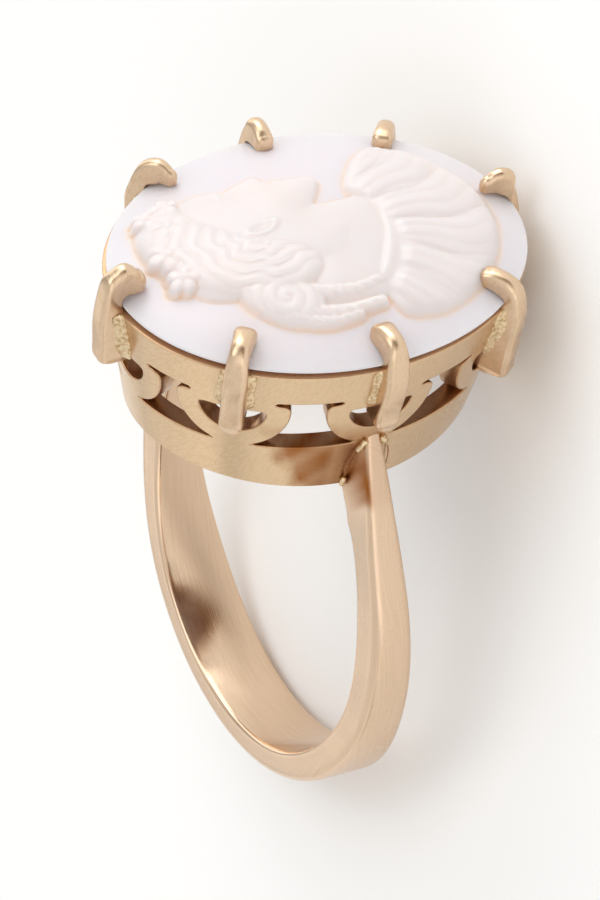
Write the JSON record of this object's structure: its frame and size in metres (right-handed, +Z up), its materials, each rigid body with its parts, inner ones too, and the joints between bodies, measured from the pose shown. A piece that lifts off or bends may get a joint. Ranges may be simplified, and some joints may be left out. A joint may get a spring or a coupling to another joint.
{
  "type": "cameo ring",
  "caption": "Gold ring lying on its side: a pierced oval crown of scrolls and claws holds a carved portrait cameo over a band that widens towards the back.",
  "frame": {"origin": "centre of the underside of the bounding box, on the table that the ring lies on", "axes": "+Z up from the table; -Y is the side the cameo faces; X runs across the hand, along the oval's short axis; the finger hole's axis leans in the YZ plane"},
  "size_m": [0.0206, 0.0284, 0.0187],
  "materials": {
    "gold": "polished rose and yellow gold, fire-stained at the solder",
    "cameo_shell": "carved and polished pale pink coral"
  },
  "bodies": {
    "root": {"ring_mount": "gold", "cameo": "cameo_shell"}
  },
  "joints": []
}
